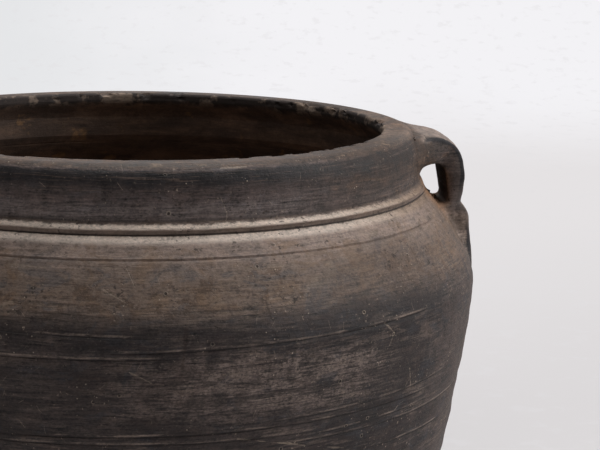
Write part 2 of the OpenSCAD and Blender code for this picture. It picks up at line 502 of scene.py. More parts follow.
def lump(name, rings, roundness):
    """A block of clay drawn out through rings of (outer point, inner point, width)."""
    rest()
    bpy.ops.mesh.primitive_cube_add(size=1)
    piece = new_piece(name)
    bpy.ops.object.mode_set(mode="EDIT")
    bpy.ops.mesh.subdivide(number_cuts=5)
    bpy.ops.transform.tosphere(value=roundness)
    rest()
    size = piece.dimensions.copy()
    edit_whole(piece)
    mid, tilt, thick, axes = ring_frame(*rings[0][:2])
    width = rings[0][2]
    bpy.ops.transform.resize(value=(0.001 / size.x, width / size.y, thick / size.z),
                             center_override=(0, 0, 0))
    bpy.ops.transform.rotate(value=-tilt, orient_axis="Y", center_override=(0, 0, 0))
    bpy.ops.transform.translate(value=mid)
    along = axes.col[0]
    pick(piece, lambda p: p.normal.dot(along) > 0.5, "FACE")
    for outer, inner, wide in rings[1:]:
        there, lean, deep, axes = ring_frame(outer, inner)
        bpy.ops.mesh.extrude_region_move(TRANSFORM_OT_translate={"value": there - mid})
        bpy.ops.transform.rotate(value=tilt - lean, orient_axis="Y", center_override=there)
        bpy.ops.transform.resize(value=(1, wide / width, deep / thick), orient_type="GLOBAL",
                                 orient_matrix=axes, orient_matrix_type="GLOBAL", center_override=there)
        mid, tilt, thick, width = there, lean, deep, wide
    rest()
    modify(piece, "SUBSURF", levels=2, render_levels=2)
    return piece


LEG_IN = wall_r(JOINT_Z) + 0.0049
LEG_OUT = LEG_IN + 0.0082
ROOT_X = 0.150
ROOT_TOP_Z = RIM_Z - 0.0024
ROOT_UNDER_Z = RIM_Z - 0.0212
STRAP_W = 0.0385
FOOT_W = 0.041
TAIL_NARROWER = 0.024
TAIL_Z = RIM_Z - 0.092
# Extra width of the strap at each ring from its root on, where it spreads onto the collar.
ROOT_FLARE = [0.054, 0.044, 0.027, 0.015, 0.007, 0.002]


def strap_rings():
    """Rings of the strap: level out of the rim, round a tight corner and down its leg to the joint."""
    below_joint = JOINT_Z - 0.002
    outer = corner_line((ROOT_X, ROOT_TOP_Z), (LEG_OUT + 0.0067, RIM_Z - 0.0049),
                        (LEG_OUT - 0.0019, below_joint), 0.0280, 0.0340)
    inner = corner_line((ROOT_X, ROOT_UNDER_Z), (LEG_IN - 0.0034, RIM_Z - 0.0200),
                        (LEG_IN, below_joint), 0.006, 0.006)
    flare = ROOT_FLARE + [0] * (len(outer) - len(ROOT_FLARE))
    return [(o, i, STRAP_W + wide - 0.00014 * k) for k, (o, i, wide) in enumerate(zip(outer, inner, flare))]


def foot_rings():
    """Rings of the foot: a wad under the joint, faired out to nothing down the shoulder."""
    rings = []
    for k in range(15):
        s = k / 14
        z = JOINT_Z + (TAIL_Z - JOINT_Z) * s
        proud = (0.0139 * (1 - s) ** 2.85 + 0.0036 * math.sin(math.pi * s ** 0.43)
                 + 0.0012 * s * s * (1 - s ** 8) - 0.0008 * s ** 12)
        rings.append(((wall_r(z) + proud, z), (wall_r(z) - 0.005, z), FOOT_W - TAIL_NARROWER * s ** 1.3))
    return rings


def ball(name, place, radii, turned=0):
    """A smooth lump of clay, turned about the vertical by an angle in degrees."""
    rest()
    bpy.ops.mesh.primitive_uv_sphere_add(segments=32, ring_count=20, radius=1)
    piece = new_piece(name)
    edit_whole(piece)
    bpy.ops.transform.resize(value=radii, center_override=(0, 0, 0))
    bpy.ops.transform.rotate(value=-math.radians(turned), orient_axis="Z", center_override=(0, 0, 0))
    bpy.ops.transform.translate(value=place)
    rest()
    return piece


def crumbs():
    """Bits of clay squeezed out under the strap's leg and left on the shoulder."""
    luck = random.Random(7)
    bits = []
    for _ in range(9):
        z = RIM_Z - luck.uniform(0.0355, 0.0435)
        bearing = math.radians(luck.uniform(-7.5, 3))
        size = luck.uniform(0.0011, 0.0021)
        r = wall_r(z) + size * 0.4
        radii = (size, size * luck.uniform(0.8, 1.5), size * luck.uniform(0.7, 1.1))
        place = (r * math.cos(bearing), r * math.sin(bearing), z)
        bits.append(ball("crumb", place, radii, luck.uniform(0, 90)))
    return bits


def turn_over(piece):
    """Swaps a piece from the right side of the jar to the left."""
    edit_whole(piece)
    bpy.ops.transform.resize(value=(-1, 1, 1), center_override=(0, 0, 0))
    bpy.ops.mesh.flip_normals()
    rest()


def wall_chunk(side):
    """The part of the body that a handle is luted to."""
    piece = copy_of(body, "wall_chunk")
    for co, no in (((0.12 * side, 0, 0), (-side, 0, 0)), ((0, 0.062, 0), (0, 1, 0)),
                   ((0, -0.062, 0), (0, -1, 0)), ((0, 0, 0.255), (0, 0, -1))):
        edit_whole(piece)
        bpy.ops.mesh.bisect(plane_co=co, plane_no=no, use_fill=True, clear_outer=True)
        rest()
    return piece


skin = BVHTree.FromObject(body, bpy.context.evaluated_depsgraph_get())


def stand_out(co):
    """How far a point stands out of the body's skin, and the way out."""
    near, way, _, _ = skin.find_nearest(co)
    return (co - near).dot(way), way


def luting(co, proud, clear):
    """How far the clay is smoothed over: fully against the wall, less round the eye and on the foot."""
    depth = depth_of(co)
    by_eye = ease(23, 27, depth) * ease(48, 44, depth) * ease(0.1765, 0.1745, abs(co.x))
    low = ease(46, 52, depth)
    return (1 - ease(0.005, 0.011, proud)) * (1 - clear) * (1 - 0.85 * by_eye) * (1 - 0.6 * low)


def off_arris(co, lines):
    """Distance in mm from a place to the nearest of the lines along the outer corners of strap and foot."""
    co = Vector((abs(co.x), abs(co.y), co.z))
    return min((co - a - (b - a) * min(1, max(0, (co - a).dot(b - a) / (b - a).length_squared))).length
               for line in lines for a, b in zip(line, line[1:])) / MM


def handle_lumps(side):
    """Strap, foot, the pad behind the strap's root and the crumbs, for one side of the jar."""
    strap = lump("strap_lump", strap_rings(), 0.15)
    foot = lump("foot_lump", foot_rings(), 0.20)
    pad = ball("root_pad", (0.1530, 0, RIM_Z - 0.0150), (0.0068, 0.036, 0.0125))
    lumps = [strap, foot, pad] + crumbs()
    if side < 0:
        for piece in lumps:
            turn_over(piece)
    return lumps


def worked_together(lumps, chunk, clear_of):
    """Lumps and wall made one clay, smoothed over where they meet, and left a little uneven."""
    rest()
    for piece in lumps + [chunk]:
        piece.select_set(True)
    bpy.context.view_layer.objects.active = lumps[0]
    bpy.ops.object.join()
    clay = new_piece("handle_clay")
    modify(clay, "REMESH", mode="VOXEL", voxel_size=0.0011)
    weigh(clay, "lute", lambda co: luting(co, stand_out(co)[0], clear_of(co)))
    modify(clay, "SMOOTH", factor=0.5, iterations=110, vertex_group="lute")
    modify(clay, "SMOOTH", factor=0.5, iterations=3)
    for name, size, strength in (("thumbed", 0.016, 0.0011), ("grit", 0.004, 0.0003)):
        modify(clay, "DISPLACE", texture=clay_texture(name, size, 1), texture_coords="LOCAL",
               strength=strength, mid_level=0.5)
    return clay


def let_in(clay, clear_of):
    """Clay level with the wall is let in under its skin, and what lies wholly under it is cut away."""
    deep = set()
    for v in clay.data.vertices:
        proud, way = stand_out(v.co)
        clear = clear_of(v.co)
        v.co -= way * (0.0007 * (1 - (1 - clear) * ease(0, 0.0009, proud)) + clear * max(0, proud))
        if proud < 0.00005 or clear > 0.99:
            deep.add(v.index)
    pick(clay, lambda v: v.index in deep)
    bpy.ops.mesh.delete(type="VERT")
    rest()


def keep_leg(clay, side):
    """Loose bits and faces that meet badly go, and only the clay that holds the leg stays."""
    leg_place = Vector((LEG_OUT * side, 0, JOINT_Z + 0.01))
    leg = min(clay.data.vertices, key=lambda v: (v.co - leg_place).length).index
    pick(clay, lambda v: v.index == leg)
    bpy.ops.mesh.select_linked()
    bpy.ops.mesh.select_all(action="INVERT")
    bpy.ops.mesh.delete(type="VERT")
    for _ in range(12):
        bpy.ops.mesh.select_all(action="DESELECT")
        bpy.ops.mesh.select_non_manifold(use_boundary=False)
        bpy.ops.mesh.delete(type="VERT")
    bpy.ops.mesh.select_all(action="SELECT")
    bpy.ops.mesh.delete_loose()


def sink_border(clay):
    """The open border is drawn in under the wall's skin and closed there."""
    bpy.ops.mesh.select_mode(type="EDGE")
    bpy.ops.mesh.select_all(action="DESELECT")
    bpy.ops.mesh.select_non_manifold()
    extrude_edges()
    rest()
    for v in clay.data.vertices:
        if v.select:
            proud, way = stand_out(v.co)
            v.co -= way * (proud + 0.002)
    edit(clay, "EDGE")
    bpy.ops.mesh.select_non_manifold()
    extrude_edges()
    bpy.ops.mesh.merge(type="COLLAPSE")
    face_outwards()


def parted(clay, label):
    """Strap and foot, cut apart at their joint."""
    made = []
    for node, slot, away in (("handle_strap_", "clay_strap", -1), ("handle_foot_", "clay_worn", 1)):
        part = copy_of(clay, node + label + "_clay")
        edit_whole(part)
        bpy.ops.mesh.bisect(plane_co=(0, 0, JOINT_Z), plane_no=(0, 0, away), use_fill=True, clear_outer=True)
        rest()
        made.append(part)
        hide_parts(node + label)
    drop(clay)
    return made


def handle(label, side):
    """Strap and foot worked into the wall as one clay, then parted at their joint."""
    lumps = handle_lumps(side)
    skins = [BVHTree.FromObject(piece, bpy.context.evaluated_depsgraph_get()) for piece in lumps[:3]]

    def clear_of(co):
        """0 at the strap and foot, 1 where the wall is left as it was thrown."""
        return ease(0.008, 0.015, min(lump_skin.find_nearest(co)[3] for lump_skin in skins))

    clay = worked_together(lumps, wall_chunk(side), clear_of)
    let_in(clay, clear_of)
    keep_leg(clay, side)
    sink_border(clay)
    corners = [[Vector((outer[0], wide / 2, outer[1])) for outer, _, wide in rings]
               for rings in (strap_rings(), foot_rings())]
    mark(clay, "off_arris", "FLOAT", "POINT", [off_arris(v.co, corners) for v in clay.data.vertices])
    return parted(clay, label)


handles = handle("right", 1) + handle("left", -1)

# ---------------------------------------------------------------- courses parted at their seams


def open_edges(piece, *spots):
    """Selects the open loops of a piece that run near spots of (radius, height)."""
    rest()
    used = Counter(key for p in piece.data.polygons for key in p.edge_keys)
    places = piece.data.vertices

    def on_loop(edge):
        if used[edge.key] != 1:
            return False
        co = places[edge.vertices[0]].co
        return any(abs(radius_of(co) - r) < 0.0035 and abs(co.z - z) < 0.0025 for r, z in spots)

    pick(piece, on_loop, "EDGE")


def draw_in(piece, spot, radius, height=None):
    """Extrudes an open loop to a new radius and, after that, to a new height."""
    open_edges(piece, spot)
    extrude_edges()
    bpy.ops.transform.resize(value=(radius / spot[0], radius / spot[0], 1), center_override=(0, 0, 0))
    if height is not None:
        extrude_edges((0, 0, height - spot[1]))


def bridge(piece, *spots):
    """Joins two open loops with faces."""
    open_edges(piece, *spots)
    bpy.ops.mesh.bridge_edge_loops()


def seam(index):
    """The open loops at the top of a course: outer and inner (radius, height)."""
    out_z, in_z = COURSES[index][2:]
    return (wall_r(out_z), out_z), (inside_r(in_z), in_z)


LEDGE = (LEDGE_R - 0.0006, GROOVE_Z)
CORDON_TOP = (NECK_R + 0.0002, CORDON_Z)
NECK_IN = (NECK_IN_R, GROOVE_Z + LAP)
RIM_FOOT = ((NECK_R, RIM_SEAM), (NECK_IN_R, RIM_SEAM - 0.002))
shells = []
for number, (node, slot, _, _) in enumerate(COURSES):
    marks = [0] * len(body.data.polygons)
    body.data.attributes["course"].data.foreach_get("value", marks)
    pick(body, lambda p: marks[p.index] == number, "FACE")
    if number < len(COURSES) - 1:
        bpy.ops.mesh.separate(type="SELECTED")
        rest()
        piece = next(o for o in bpy.data.objects if o.name.startswith("turned_body.") and o not in shells)
    else:
        piece = body
    piece.name = piece.data.name = node + "_clay"
    shells.append(piece)
    if node == "neck_cordon":
        draw_in(piece, CORDON_TOP, BED_R)
        draw_in(piece, LEDGE, BED_R)
        bridge(piece, (BED_R, CORDON_Z), (BED_R, GROOVE_Z))
    elif node == "collar":
        draw_in(piece, CORDON_TOP, BED_R, GROOVE_Z)
        bridge(piece, (BED_R, GROOVE_Z), NECK_IN)
        bridge(piece, *RIM_FOOT)
    elif node == "rim_lip":
        bridge(piece, *RIM_FOOT)
    else:
        if number > 0:
            bridge(piece, *seam(number - 1))
        if node == "shoulder_course":
            draw_in(piece, LEDGE, BED_R)
            bridge(piece, (BED_R, GROOVE_Z), NECK_IN)
        else:
            bridge(piece, *seam(number))
    face_outwards()
    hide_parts(node)

# ---------------------------------------------------------------- camera, light and stage

CAMERA_YAW = 0.0946
CAMERA_PITCH = 0.1905
CAMERA_ROLL = 0.02
ahead = Vector((math.sin(CAMERA_YAW) * math.cos(CAMERA_PITCH),
                math.cos(CAMERA_YAW) * math.cos(CAMERA_PITCH), -math.sin(CAMERA_PITCH)))
level = Vector((math.cos(CAMERA_YAW), -math.sin(CAMERA_YAW), 0))
above = level.cross(ahead)
right = level * math.cos(CAMERA_ROLL) + above * math.sin(CAMERA_ROLL)
top = above * math.cos(CAMERA_ROLL) - level * math.sin(CAMERA_ROLL)
rest()
bpy.ops.object.camera_add(location=(0, -0.9777, RIM_Z + 0.1306))
camera = bpy.context.active_object
camera.name = "camera"
camera.data.lens = 105
camera.data.sensor_width = 36
facing = Matrix((right, top, -ahead)).transposed().to_4x4()
camera.matrix_world = Matrix.Translation(camera.location) @ facing
bpy.context.scene.camera = camera

# ---------------------------------------------------------------- finishes

TO_MM = (1000, 1000, 1000)
RIM_MM = RIM_Z * 1000
# The ring scored round the shoulder, written as one of the wheel's lines.
SCORED_RING = (43.1, -200, 43.1, 200, 0)


class Value:
    """A shader socket that sums can be written with."""

    def __init__(self, socket):
        self.socket = socket

    def node(self, kind, settings, sockets, out=0):
        """Adds a node: its settings are made first, then its sockets are set or linked."""
        tree = self.socket.id_data
        made = tree.nodes.new(kind)
        for key, value in settings.items():
            setattr(made, key, value)
        for key, value in sockets.items():
            if isinstance(value, Value):
                tree.links.new(value.socket, made.inputs[key])
            else:
                made.inputs[key].default_value = value
        return Value(made.outputs[out])

    def other(self, name):
        """Another output of the same node."""
        return Value(self.socket.node.outputs[name])

    def sum(self, operation, *terms):
        """A Math node on numbers and values."""
        return self.node("ShaderNodeMath", {"operation": operation}, dict(enumerate(terms)))

    def __add__(self, other):
        return self.sum("ADD", self, other)

    __radd__ = __add__

    def __sub__(self, other):
        return self.sum("SUBTRACT", self, other)

    def __rsub__(self, other):
        return self.sum("SUBTRACT", other, self)

    def __mul__(self, other):
        return self.sum("MULTIPLY", self, other)

    __rmul__ = __mul__

    def __truediv__(self, other):
        return self.sum("DIVIDE", self, other)

    def __rtruediv__(self, other):
        return self.sum("DIVIDE", other, self)

    def __pow__(self, other):
        return self.sum("POWER", self, other)

    def __rpow__(self, other):
        return self.sum("POWER", other, self)

    def __abs__(self):
        return self.sum("ABSOLUTE", self)


def tone(red, green, blue):
    """A colour given as display values from 0 to 255."""
    shares = [c / 255 for c in (red, green, blue)]
    return tuple(((c + 0.055) / 1.055) ** 2.4 if c > 0.04 else c / 12.92 for c in shares) + (1,)


def ramp(value, low, high):
    """0 at low, 1 at high, smooth between; high may be the smaller."""
    return value.node("ShaderNodeMapRange", {"interpolation_type": "SMOOTHSTEP"},
                      {"Value": value, "From Min": low, "From Max": high})


def band(value, a, b, c, d):
    """1 between b and c, fading out to a and d."""
    return ramp(value, a, b) * ramp(value, d, c)


def vector(operation, a, b, out=0):
    """A Vector Math node on two vectors; out 1 is its plain number."""
    return a.node("ShaderNodeVectorMath", {"operation": operation}, {0: a, 1: b}, out)


def clouds(place, size, stretch=(1, 1, 1), detail=2.0, rough=0.5, seed=0, warp=0.0):
    """Soft noise about 0.5 with lumps of a size in mm, longer where stretch is below 1."""
    at = vector("MULTIPLY", place, tuple(s / size for s in stretch))
    at = vector("ADD", at, (seed * 7.31, seed * 3.17, seed * 5.53))
    return at.node("ShaderNodeTexNoise", {},
                   {"Vector": at, "Scale": 1.0, "Detail": detail, "Roughness": rough, "Distortion": warp})


def stain(base, colour, amount):
    """Lays a colour over a base; both are shader values or display values from 0 to 255."""
    base, colour = (tone(*c) if isinstance(c, tuple) else c for c in (base, colour))
    return amount.node("ShaderNodeMix", {"data_type": "RGBA"}, {0: amount, 6: base, 7: colour}, 2)


def strewn(place, way_out, spacing, share, seed):
    """Cells spaced over a surface: the offset from each middle, its random colour, and which cells count."""
    at = vector("ADD", vector("MULTIPLY", place, (1 / spacing,) * 3), (seed * 4.7, seed * 9.1, seed * 2.3))
    middle = at.node("ShaderNodeTexVoronoi", {}, {"Vector": at, "Scale": 1.0}, "Position")
    colour = middle.other("Color")
    off = vector("SUBTRACT", at, middle)
    rise = spread(vector("DOT_PRODUCT", off, way_out, 1))
    flat = vector("SUBTRACT", off, vector("MULTIPLY", way_out, rise))
    luck = colour.node("ShaderNodeSeparateColor", {}, {0: colour}, 0)
    return flat, colour, ramp(luck, 1 - share, 1 - share + 0.02)


def spread(value):
    """The same number along all three axes."""
    return value.node("ShaderNodeCombineXYZ", {}, {0: value, 1: value, 2: value})


def scratches(place, way_out, spacing, length, width, share, seed):
    """Short straight scratches, each its own way along the surface; sizes in mm."""
    flat, colour, counts = strewn(place, way_out, spacing, share, seed)
    tilt = vector("SUBTRACT", colour, (0.5, 0.5, 0.5))
    way = vector("NORMALIZE", vector("CROSS_PRODUCT", tilt, way_out), (0, 0, 0))
    along = vector("DOT_PRODUCT", flat, way, 1)
    aside = vector("LENGTH", vector("SUBTRACT", flat, vector("MULTIPLY", way, spread(along))), (0, 0, 0), 1)
    thin = ramp(aside, width / spacing, width * 0.3 / spacing)
    return thin * ramp(abs(along), length / spacing, length * 0.7 / spacing) * counts


def pits(place, way_out, spacing, radius, share, seed):
    """Distance from the middle of scattered pits, as a share of their radius; large where there is none."""
    flat, _, counts = strewn(place, way_out, spacing, share, seed)
    return vector("LENGTH", flat, (0, 0, 0), 1) * (spacing / radius) + (1 - counts) * 9


def scored(depth, bearing, line, width):
    """Mask of one wheel line."""
    deep_a, a, deep_b, b, _ = line
    at = abs(depth - (deep_a + (bearing - a) * ((deep_b - deep_a) / (b - a))))
    edge = (b - a) * 0.12
    return ramp(at, width, width * 0.25) * band(bearing, a, a + edge, b - edge, b)


def axes_of(value):
    """The three numbers of a place or a direction."""
    return tuple(value.node("ShaderNodeSeparateXYZ", {}, {0: value}, i) for i in range(3))


def new_finish(name):
    """A new material, its main shader, and places over it in mm."""
    mat = bpy.data.materials.new(name)
    mat.use_nodes = True
    shader = mat.node_tree.nodes["Principled BSDF"]
    coords = Value(shader.outputs[0]).node("ShaderNodeTexCoord", {}, {}, "Object")
    return mat, shader, coords


def clay_spot(name):
    """A new clay and where its points lie: place and way out, depth below the rim in mm, bearing and
    degrees from the nearest handle, and the noises that its finish is mixed from."""
    mat, shader, coords = new_finish(name)
    at = SimpleNamespace(mat=mat, shader=shader)
    at.place = vector("MULTIPLY", coords, TO_MM)
    at.way_out = coords.other("Normal")
    at.x, at.y, z = axes_of(at.place)
    at.side_x, at.side_y, at.up = axes_of(at.way_out)
    at.depth = RIM_MM - z
    at.bearing = at.y.sum("ARCTAN2", at.y, at.x) * (180 / math.pi)
    at.off_handle = 90 - abs(90 - abs(at.bearing))
    at.drift = clouds(at.place, 52, (1, 1, 1.5), 6, 0.60, 1, 0.3)
    at.smear = clouds(at.place, 30, (1, 1, 5), 6, 0.66, 2, 0.5)
    at.streak = clouds(at.place, 15, (1, 1, 13), 5, 0.66, 3, 0.2)
    at.brushed = clouds(at.place, 7, (1, 1, 0.22), 4, 0.62, 4, 0.2)
    at.mottle = clouds(at.place, 8, (1, 1, 1), 5, 0.66, 5, 0.2)
    at.blotch = clouds(at.place, 19, (1, 1, 1.7), 6, 0.70, 15, 0.9)
    at.grain = clouds(at.place, 1.5, (1, 1, 1.6), 3, 0.70, 6)
    return at


def wall_colour(at):
    """Below the shoulder: near black, with greyer clouds, a rubbed patch, a lighter flank that is painted
    sheen, and a darker band that is painted shade.
    """
    cloud = ramp(at.drift * 0.5 + at.smear * 0.5, 0.38, 0.62)
    colour = stain((47, 39, 37), (74, 64, 61), cloud)
    # painted sheen: the flank towards the window is lightened like a reflection of the pale backdrop
    painted_sheen_flank = ramp(at.bearing + (at.drift - 0.5) * 24, -38, -22) * ramp(at.bearing, 40, 0)
    colour = stain(colour, (84, 72, 67), painted_sheen_flank * 0.8)
    # painted shade: a darker band round bearings -57 to -42, where less light falls, not smoke on the clay
    painted_shade_band = band(at.bearing + (at.mottle - 0.5) * 14, -66, -57, -42, -32)
    colour = stain(colour, (43, 36, 35), painted_shade_band * 0.55)
    rubbed = (band(at.depth + (at.mottle - 0.5) * 16, 82, 94, 108, 124)
              * band(at.bearing + (at.drift - 0.5) * 24, -98, -78, -60, -44))
    flaked = ramp(at.streak * 0.5 + at.smear * 0.3 + at.mottle * 0.2, 0.465, 0.535)
    flaked = flaked * ramp(at.grain, 0.30, 0.52)
    colour = stain(colour, (128, 113, 105), rubbed * (0.2 + flaked * 0.8) * 0.85)
    colour = stain(colour, (106, 92, 83), ramp(at.streak * 0.4 + at.smear * 0.6, 0.53, 0.60) * 0.55)
    colour = stain(colour, (72, 58, 52), ramp(at.blotch, 0.53, 0.64) * 0.4)
    colour = stain(colour, (52, 52, 57), ramp(at.blotch, 0.46, 0.38) * 0.55)
    sooty = band(at.depth + (at.streak - 0.5) * 30, 64, 69, 78, 90) * ramp(at.drift, 0.64, 0.46)
    sooty = sooty * (0.3 + ramp(at.off_handle, 24, 46) * 0.7)
    colour = stain(colour, (42, 38, 40), sooty * 0.4)
    return stain(colour, (34, 28, 27), ramp(at.streak, 0.53, 0.62) * 0.6)


def shoulder_colour(at):
    """The worn shoulder: tan beside the cordon, browner and specked lower down, with painted shade low on it
    between 32 and 54 degrees from the handles.
    """
    lower = ramp(at.depth + (at.drift - 0.5) * 16, 37, 54)
    colour = stain((146, 128, 118), (118, 101, 90), lower)
    colour = stain(colour, (82, 66, 55), ramp(at.mottle, 0.50, 0.62) * (0.25 + lower * 0.6))
    colour = stain(colour, (122, 99, 80), ramp(at.blotch, 0.52, 0.62) * 0.55)
    colour = stain(colour, (92, 86, 85), ramp(at.blotch, 0.47, 0.39) * (0.35 + lower * 0.3))
    colour = stain(colour, (138, 121, 106), ramp(at.smear, 0.56, 0.66) * 0.5)
    # painted shade: the lower shoulder is darker between 32 and 54 degrees from the handles, like the band on
    # the wall below
    colour = stain(colour, (84, 70, 62), band(at.off_handle, 22, 32, 54, 66) * lower * 0.5)
    colour = stain(colour, (92, 74, 61), ramp(at.off_handle + (at.drift - 0.5) * 16, 34, 14) * 0.5)
    return stain(colour, (66, 56, 51), ramp(at.brushed, 0.56, 0.70) * lower * 0.45)


def collar_colour(at):
    """The collar: smoked grey, browner towards the handles, burnished dark under the rim."""
    browner = ramp(at.off_handle + (at.drift - 0.5) * 24, 66, 38)
    colour = stain((87, 75, 72), (66, 53, 46), browner)
    greyed = band(at.off_handle, 48, 66, 84, 100) * ramp(at.depth, 15, 22)
    colour = stain(colour, (117, 107, 104), greyed * 0.7)
    colour = stain(colour, (88, 77, 73), ramp(at.depth, 18, 25) * browner * 0.7)
    rusty = ramp(at.smear * 0.5 + at.blotch * 0.5, 0.50, 0.60) * browner
    colour = stain(colour, (100, 77, 60), rusty * 0.6)
    colour = stain(colour, (98, 92, 93), ramp(at.blotch, 0.46, 0.38) * (1 - browner) * 0.5)
    colour = stain(colour, (98, 82, 75), ramp(at.blotch, 0.54, 0.62) * (1 - browner) * 0.4)
    burnished = band(at.depth + (at.smear - 0.5) * 6, 2.6, 3.6, 7.5, 13)
    colour = stain(colour, stain((33, 31, 34), (44, 33, 28), browner), burnished * 0.92)
    fine = clouds(at.place, 26, (1, 1, 34), 3, 0.6, 16)
    top_band = band(at.depth, 2.5, 4, 13, 16)
    colour = stain(colour, (34, 28, 27), ramp(at.streak, 0.48, 0.56) * top_band * 0.6)
    colour = stain(colour, (104, 86, 76), ramp(fine, 0.56, 0.64) * top_band * 0.45)
    colour = stain(colour, (40, 33, 31), ramp(fine, 0.42, 0.34) * band(at.depth, 3, 6, 24, 27) * 0.5)
    return stain(colour, (54, 45, 42), ramp(at.brushed * 0.5 + at.mottle * 0.5, 0.53, 0.60) * 0.4)


def rim_colour(at):
    """The top of the rim, rubbed grey and tan."""
    colour = stain((88, 69, 57), (66, 53, 45), ramp(at.drift * 0.5 + at.mottle * 0.5, 0.45, 0.55))
    colour = stain(colour, (132, 114, 102), ramp(at.off_handle, 34, 8) * 0.75)
    return stain(colour, (122, 102, 85), ramp(at.smear * 0.5 + at.mottle * 0.5, 0.54, 0.62) * 0.55)


def worn_colour(at, strong):
    """Bare clay where a raised ring has rubbed, darker and browner towards the handles."""
    mid, far = ramp(at.off_handle, 10, 34), ramp(at.off_handle + (at.drift - 0.5) * 12, 28, 58)
    colour = stain((104, 85, 70), (152, 132, 115), mid)
    return stain(colour, strong, far)


def ring_colours(at, colour):
    """Cordon, its groove and the crest of the shoulder."""
    rough = (at.mottle - 0.5) * 1.6 + (at.grain - 0.5) * 1.0
    broken = 0.35 + ramp(at.mottle * 0.4 + at.streak * 0.6, 0.66, 0.46) * 0.65
    bead = band(at.depth + rough * 1.3, 27.6, 28.7, 29.5, 30.7) * broken
    under = band(at.depth, 29.9, 30.9, 32.2, 33.0)
    crest = band(at.depth + rough, 32.8, 33.5, 34.9, 37.6) * broken
    groove = band(at.depth, 32.2, 32.6, 32.9, 33.3)
    colour = stain(colour, (62, 53, 49), band(at.depth + rough, 25.2, 26.4, 27.8, 28.8) * 0.5)
    colour = stain(colour, (112, 97, 87), under * ramp(at.off_handle, 12, 36) * 0.85)
    colour = stain(colour, worn_colour(at, (222, 204, 189)), bead)
    colour = stain(colour, worn_colour(at, (224, 207, 193)), crest * 0.9)
    return stain(colour, (40, 33, 30), groove * ramp(at.grain, 0.20, 0.40) * 0.85), bead, groove


def wheel_marks(at, colour):
    """The scored ring and the wheel lines: dark, broken, with a pale upper edge."""
    broken = ramp(at.streak, 0.66, 0.46)
    ring = scored(at.depth + (at.smear - 0.5) * 1.5, at.bearing, SCORED_RING, 0.9)
    cuts = ring * broken * band(at.off_handle, 14, 30, 66, 98) * 0.24
    lips = 0.0
    for line in WHEEL_LINES:
        cuts = cuts + scored(at.depth, at.bearing, line, 0.50) * broken
        lips = scored(at.depth + 1.1, at.bearing, line, 0.8) + lips
    colour = stain(colour, (128, 113, 103), lips * ramp(at.smear, 0.44, 0.56) * 0.6)
    return stain(colour, (36, 30, 29), cuts * 0.75), cuts, lips


# Strokes left by tools and knocks: depth in mm and bearing in degrees of both ends, width in mm.
PALE_STROKES = [
    (80, -50.0, 86, -47.8, 0.5), (86, -47.8, 92, -48.6, 0.45), (55, -95, 64, -89.5, 0.4),
    (92, -91, 97, -88, 0.5), (2.3, -75, 2.0, -70, 0.5), (108, -42.8, 120, -41.6, 0.5),
    (128, -75, 135, -65, 0.4), (133, -68, 142, -56, 0.4), (58, 62, 71, 66, 0.4),
    (101, 110, 97, 118, 0.45), (118, -148, 126, -144, 0.4),
]
DARK_STROKES = [
    (72, -83, 90, -83.6, 1.1), (62, -70.5, 69, -70.2, 0.8), (66, -57, 74, -57.4, 0.9), (70, 98, 84, 97, 1.0),
]
# Length in mm of one degree of bearing, taken at a radius of 169 mm.
MM_PER_DEGREE = 2.95


def stroke(at, line):
    """Mask of one straight stroke on the wall."""
    deep_a, a, deep_b, b, width = line
    along, down = (b - a) * MM_PER_DEGREE, deep_b - deep_a
    off_along, off_down = (at.bearing - a) * MM_PER_DEGREE, at.depth - deep_a
    share = (off_along * along + off_down * down) / (along * along + down * down)
    share = share.node("ShaderNodeClamp", {}, {"Value": share})
    aside, below = off_along - share * along, off_down - share * down
    off = (aside * aside + below * below) ** 0.5 + (at.grain - 0.5) * 0.9 + (at.mottle - 0.5) * 3
    return ramp(off, width, width * 0.2)


def tool_strokes(at, colour):
    """The strokes laid over the wall, and how deep they lie."""
    pale, dark = 0.0, 0.0
    for line in PALE_STROKES:
        pale = stroke(at, line) + pale
    for line in DARK_STROKES:
        dark = stroke(at, line) + dark
    colour = stain(colour, (52, 38, 31), dark * 0.5)
    colour = stain(colour, (150, 134, 118), pale * 0.5)
    scratch = scratches(at.place, at.way_out, 24, 6.5, 0.26, 0.12, 3)
    hair = scratches(at.place, at.way_out, 9, 2.6, 0.18, 0.14, 4)
    colour = stain(colour, (150, 134, 119), (scratch * 0.75 + hair * 0.4) * ramp(at.grain, 0.30, 0.50))
    return colour, scratch * 0.10 + hair * 0.05 + pale * 0.12


def wear_marks(at, colour):
    """Pits with pale lips, and pale and dark specks; and how deep they all lie."""
    clustered = ramp(clouds(at.place, 24, (1, 1, 1), 2, 0.5, 9), 0.48, 0.62)
    dust = clouds(at.place, 1.7, (1, 1, 1), 2, 0.6, 10)
    colour = stain(colour, (150, 133, 118), ramp(dust, 0.64, 0.76) * (0.25 + clustered * 0.5))
    colour = stain(colour, (38, 31, 29), ramp(dust, 0.36, 0.24) * (0.25 + clustered * 0.4))
    flecks = clouds(at.place, 3.4, (1, 1, 1.5), 2, 0.6, 14)
    colour = stain(colour, (46, 37, 33), ramp(flecks, 0.60, 0.67) * (0.3 + clustered * 0.45))
    pit = pits(at.place, at.way_out, 11, 0.8, 0.14, 1)
    speck = pits(at.place, at.way_out, 4.2, 0.42, 0.16, 2)
    pit_lip = band(pit, 0.7, 0.95, 1.15, 1.6) * clustered
    pit_floor = ramp(pit, 1.0, 0.6) * clustered
    speck_on = ramp(speck, 1.0, 0.5) * clustered
    colour = stain(colour, (154, 139, 124), pit_lip * 0.55)
    colour = stain(colour, (38, 31, 29), pit_floor * 0.8)
    colour = stain(colour, (172, 157, 140), speck_on * 0.65)
    lie = pit_floor * 0.5 + ramp(dust, 0.36, 0.24) * 0.10 - pit_lip * 0.08 - speck_on * 0.10
    return colour, lie, pit_floor


